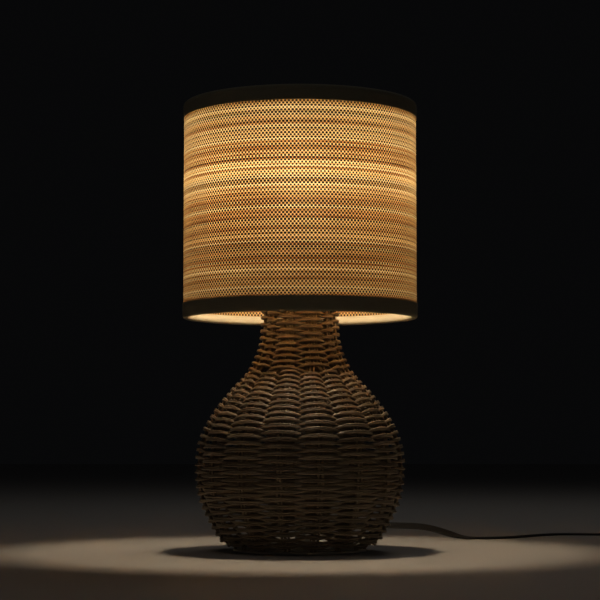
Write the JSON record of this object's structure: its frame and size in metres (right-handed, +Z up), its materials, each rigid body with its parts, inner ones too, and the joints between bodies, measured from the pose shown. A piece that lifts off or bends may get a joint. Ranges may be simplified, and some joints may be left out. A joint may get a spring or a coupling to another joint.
{
  "type": "table lamp",
  "caption": "Table lamp: a round woven rattan body with a narrow neck, a drum shade of straw cloth, a small globe bulb and a flat flex with a rocker switch and plug.",
  "frame": {"origin": "on the table, under the middle of the round foot plate", "axes": "+Z up along the lamp's axis, +Y towards the back, where the flex leaves, +X to the side where the flex lies"},
  "size_m": [0.6376, 0.497, 0.4193],
  "materials": {
    "felt": "dense brown felt",
    "plate_paint": "matt off-white powder coat",
    "zinc_steel": "bright zinc plate",
    "rattan_stake": "bare rattan cane, slightly darker than the weave",
    "rattan_rod": "bare rattan cane, matt, varied tan",
    "stained_wood": "brown stain, satin",
    "holder_plastic": "white thermoset, satin",
    "holder_core": "glazed ceramic, off-white",
    "brass": "plain brass",
    "flex_pvc": "dark grey PVC sheath, satin",
    "tie_strap": "black woven strap",
    "switch_plastic": "black, fine spark texture",
    "rocker_plastic": "black, satin",
    "plug_pvc": "dark moulded PVC",
    "pin_metal": "nickel plate",
    "white_wire": "white epoxy-coated wire",
    "straw_cloth": "open straw cloth in bands of cream, gold and brown, lets light through",
    "band_cloth": "linen band in khaki, lets a little light through",
    "cap_metal": "nickel-plated screw cap",
    "opal_glass": "frosted opal glass, lit warm",
    "clear_glass": "clear glass stem",
    "filament": "yellow phosphor strips, lit"
  },
  "bodies": {
    "lamp": {"foot_pads": "felt", "foot_plate": "plate_paint", "tube_boss": "zinc_steel", "centre_tube": "zinc_steel", "inner_flex": "flex_pvc", "foot_ring": "zinc_steel", "neck_ring": "zinc_steel", "stakes": "rattan_stake", "woven_belly": "rattan_rod", "woven_neck": "rattan_rod", "neck_cap": "stained_wood", "neck_nut": "zinc_steel", "holder_cap": "holder_plastic", "holder_sleeve": "holder_plastic", "holder_core": "holder_core", "screw_shell": "brass", "centre_contact": "brass", "flex_grip": "flex_pvc", "flex_run": "flex_pvc", "flex_coil": "flex_pvc", "coil_tie": "tie_strap", "flex_tail": "flex_pvc", "switch_base": "switch_plastic", "switch_cover": "switch_plastic", "switch_contacts": "brass", "switch_screws": "zinc_steel", "plug_boot": "plug_pvc", "plug_body": "plug_pvc", "plug_pins": "pin_metal"},
    "shade": {"shade_carrier": "white_wire", "shade_arms": "white_wire", "lower_wire_ring": "white_wire", "upper_wire_ring": "white_wire", "shade_cloth": "straw_cloth", "lower_band": "band_cloth", "upper_band": "band_cloth"},
    "clamp": {"clamp_ring": "holder_plastic"},
    "bulb": {"bulb_cap": "cap_metal", "bulb_glass": "opal_glass", "bulb_stem": "clear_glass", "bulb_filaments": "filament"},
    "rocker": {"switch_rocker": "rocker_plastic"}
  },
  "joints": [
    {"name": "shade_turn", "type": "hinge", "parent": "lamp", "child": "shade", "pos_m": [0, 0, 0.288], "axis": [0, 0, 1], "continuous": true},
    {"name": "clamp_turn", "type": "hinge", "parent": "lamp", "child": "clamp", "pos_m": [0, 0, 0.293], "axis": [0, 0, 1], "range_deg": [0, 360]},
    {"name": "bulb_turn", "type": "hinge", "parent": "lamp", "child": "bulb", "pos_m": [0, 0, 0.3], "axis": [0, 0, 1], "range_deg": [0, 360]},
    {"name": "switch_rock", "type": "hinge", "parent": "lamp", "child": "rocker", "pos_m": [0.397, 0.281, 0.015], "axis": [0, 1, 0], "range_deg": [-20, 0]}
  ]
}
